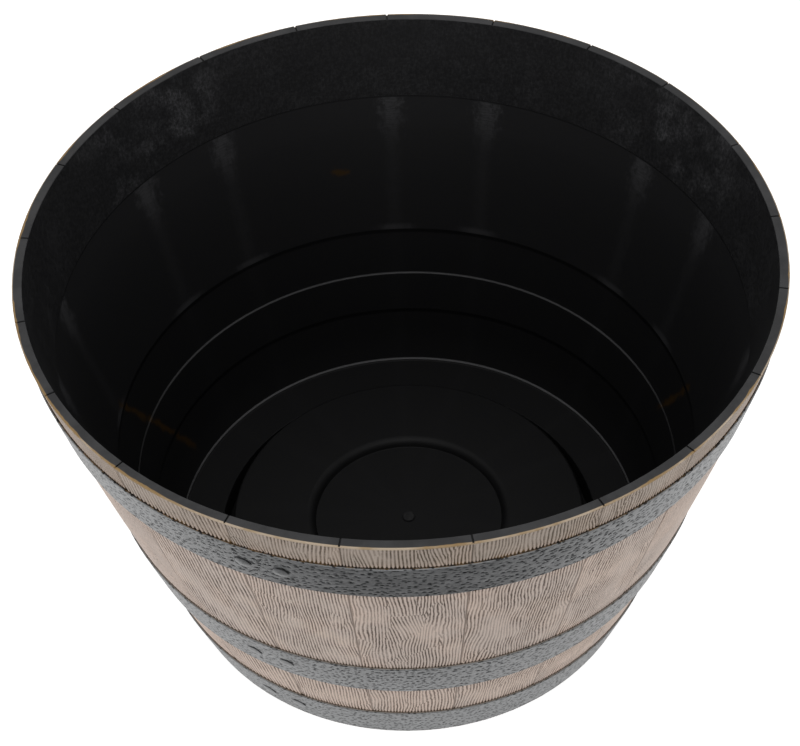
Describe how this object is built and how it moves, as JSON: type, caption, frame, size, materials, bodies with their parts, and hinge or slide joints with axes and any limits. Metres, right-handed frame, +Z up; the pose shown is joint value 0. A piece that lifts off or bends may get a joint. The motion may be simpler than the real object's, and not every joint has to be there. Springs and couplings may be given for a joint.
{
  "type": "barrel planter",
  "caption": "Round half-barrel planter: weathered wood-look staves held by riveted grey hoops round a black inner tub with a raised, dished floor and a pull-out drain plug.",
  "frame": {"origin": "on the ground at the middle of the round foot", "axes": "+Z up along the barrel's axis; -Y is the side the picture was taken from"},
  "size_m": [0.5648, 0.5648, 0.345],
  "materials": {
    "weathered_oak": "pale weathered oak look with brushed grain, matte",
    "grey_hoop": "cool grey, finely pitted, satin",
    "grey_rivet": "cool grey, satin",
    "black_resin": "black, satin; rim top dark grey",
    "plug_rubber": "black, matte"
  },
  "bodies": {
    "planter": {"inner_tub": "black_resin", "stave_01": "weathered_oak", "stave_02": "weathered_oak", "stave_03": "weathered_oak", "stave_04": "weathered_oak", "stave_05": "weathered_oak", "stave_06": "weathered_oak", "stave_07": "weathered_oak", "stave_08": "weathered_oak", "stave_09": "weathered_oak", "stave_10": "weathered_oak", "stave_11": "weathered_oak", "stave_12": "weathered_oak", "stave_13": "weathered_oak", "stave_14": "weathered_oak", "stave_15": "weathered_oak", "stave_16": "weathered_oak", "stave_17": "weathered_oak", "stave_18": "weathered_oak", "stave_19": "weathered_oak", "stave_20": "weathered_oak", "stave_21": "weathered_oak", "top_hoop": "grey_hoop", "middle_hoop": "grey_hoop", "bottom_hoop": "grey_hoop", "top_hoop_rivets": "grey_rivet", "middle_hoop_rivets": "grey_rivet", "bottom_hoop_rivets": "grey_rivet"},
    "drain_plug": {"drain_plug": "plug_rubber"}
  },
  "joints": [
    {"name": "drain_plug_pull", "type": "slide", "parent": "planter", "child": "drain_plug", "axis": [0, 0, 1], "range_m": [0, 0.33]}
  ]
}
